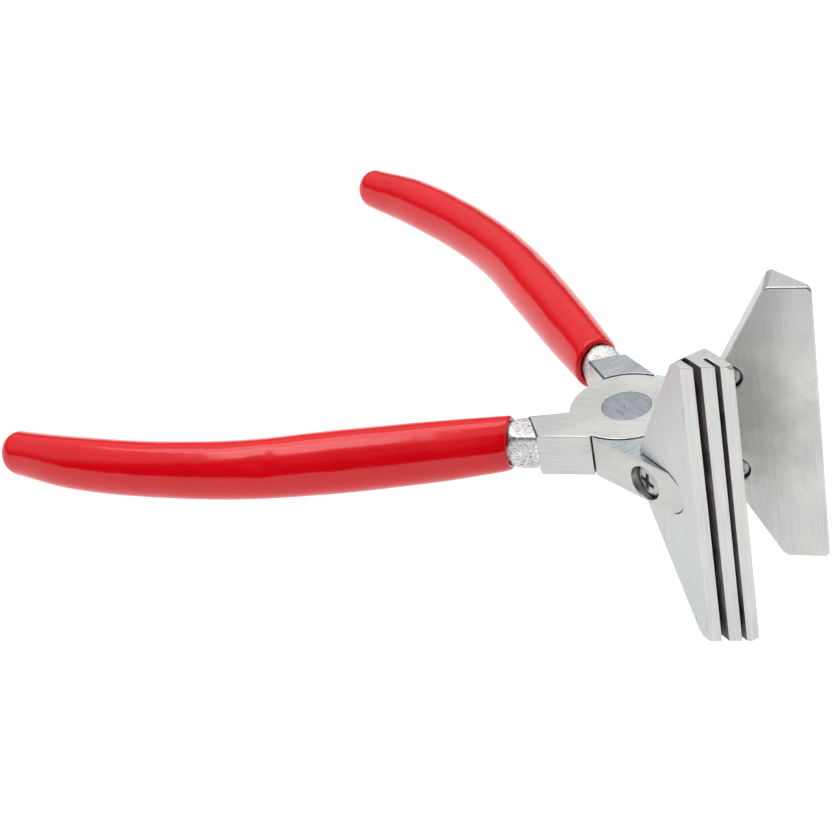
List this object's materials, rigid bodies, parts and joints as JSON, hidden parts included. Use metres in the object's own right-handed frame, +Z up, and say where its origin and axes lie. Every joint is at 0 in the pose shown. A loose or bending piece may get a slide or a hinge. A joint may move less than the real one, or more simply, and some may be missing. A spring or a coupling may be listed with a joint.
{
  "type": "hand seamer",
  "caption": "Hand seamer for bending sheet metal: crossing lap-jointed levers with dipped grips, a plain wedge jaw and a slotted jaw screwed to their arms.",
  "frame": {"origin": "centre of the bounding box's bottom face; the tool lies on a bench, fully open, on the ends of its grips and the lower corners of its jaws", "axes": "+X from the handles towards the jaws, along the bench; +Y towards the plain jaw; +Z up. The rivet's axis leans back from +Z by the resting tilt"},
  "size_m": [0.2174, 0.1854, 0.0898],
  "materials": {
    "forged_steel": "brushed",
    "rivet_steel": "brushed",
    "ground_steel": "ground",
    "screw_steel": "satin",
    "dipped_vinyl": "gloss"
  },
  "bodies": {
    "plain_side": {"plain_jaw_lever": "forged_steel", "plain_lever_grip": "dipped_vinyl", "plain_jaw": "ground_steel", "plain_jaw_screw": "screw_steel", "upper_face_screw": "screw_steel", "lower_face_screw": "screw_steel", "pivot_rivet": "rivet_steel"},
    "slotted_side": {"slotted_jaw_lever": "forged_steel", "slotted_lever_grip": "dipped_vinyl", "slotted_jaw": "ground_steel", "slotted_jaw_screw": "screw_steel"}
  },
  "joints": [
    {"name": "main_pivot", "type": "hinge", "parent": "plain_side", "child": "slotted_side", "pos_m": [0.05234, 0, 0.03694], "axis": [-0.1934, 0, 0.9811], "range_deg": [0, 44.2]}
  ]
}
